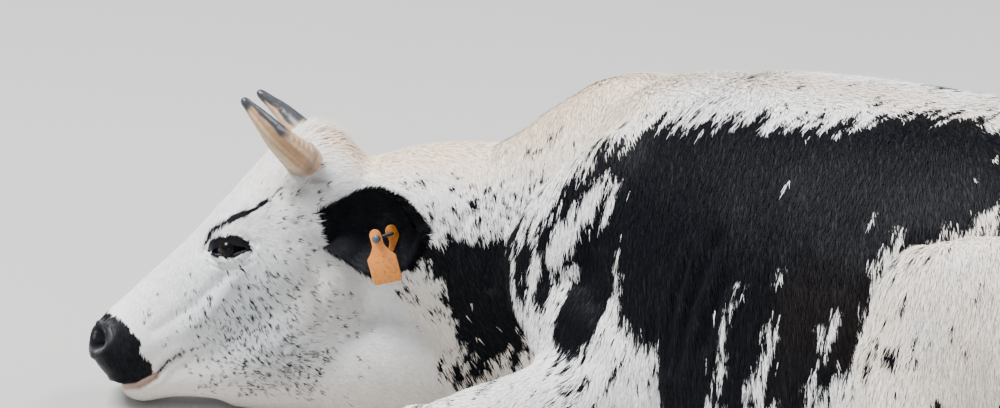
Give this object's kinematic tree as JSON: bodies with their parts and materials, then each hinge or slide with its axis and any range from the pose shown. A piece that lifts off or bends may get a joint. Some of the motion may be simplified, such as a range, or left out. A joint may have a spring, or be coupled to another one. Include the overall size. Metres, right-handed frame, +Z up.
{
  "type": "vosgienne cow, lying, still life-size model",
  "caption": "Lying black and white horned cow with its chin on the ground, a still life-size museum model.",
  "frame": {"origin": "on the floor straight under the withers, in the flat of the chest's underside", "axes": "+X along the back towards the tail, -Y to the cow's left, +Z up"},
  "size_m": [2.2017, 1.0828, 0.7141],
  "materials": {
    "white_coat": "matte",
    "black_coat": "satin",
    "switch_hair": "matte",
    "horn": "satin",
    "hoof": "satin",
    "eye": "gloss",
    "ear_tag": "satin",
    "udder_skin": "matte"
  },
  "bodies": {
    "root": {"torso": "black_coat", "neck": "white_coat", "head": "white_coat", "lower_jaw": "white_coat", "left_eye": "eye", "right_eye": "eye", "left_horn": "horn", "right_horn": "horn", "left_ear": "black_coat", "right_ear": "black_coat", "left_tag_front": "ear_tag", "left_tag_back": "ear_tag", "right_tag_front": "ear_tag", "right_tag_back": "ear_tag", "left_forearm": "white_coat", "left_fore_cannon": "white_coat", "left_fore_claw_outer": "hoof", "left_fore_claw_inner": "hoof", "left_fore_dewclaw_outer": "hoof", "left_fore_dewclaw_inner": "hoof", "right_forearm": "white_coat", "right_fore_cannon": "white_coat", "right_fore_claw_outer": "hoof", "right_fore_claw_inner": "hoof", "right_fore_dewclaw_outer": "hoof", "right_fore_dewclaw_inner": "hoof", "left_thigh": "white_coat", "left_shank": "white_coat", "left_hind_cannon": "white_coat", "left_hind_claw_outer": "hoof", "left_hind_claw_inner": "hoof", "left_hind_dewclaw_outer": "hoof", "left_hind_dewclaw_inner": "hoof", "right_thigh": "white_coat", "right_shank": "white_coat", "right_hind_cannon": "white_coat", "right_hind_claw_outer": "hoof", "right_hind_claw_inner": "hoof", "right_hind_dewclaw_outer": "hoof", "right_hind_dewclaw_inner": "hoof", "udder": "udder_skin", "tail": "white_coat", "tail_switch": "switch_hair"}
  },
  "joints": []
}
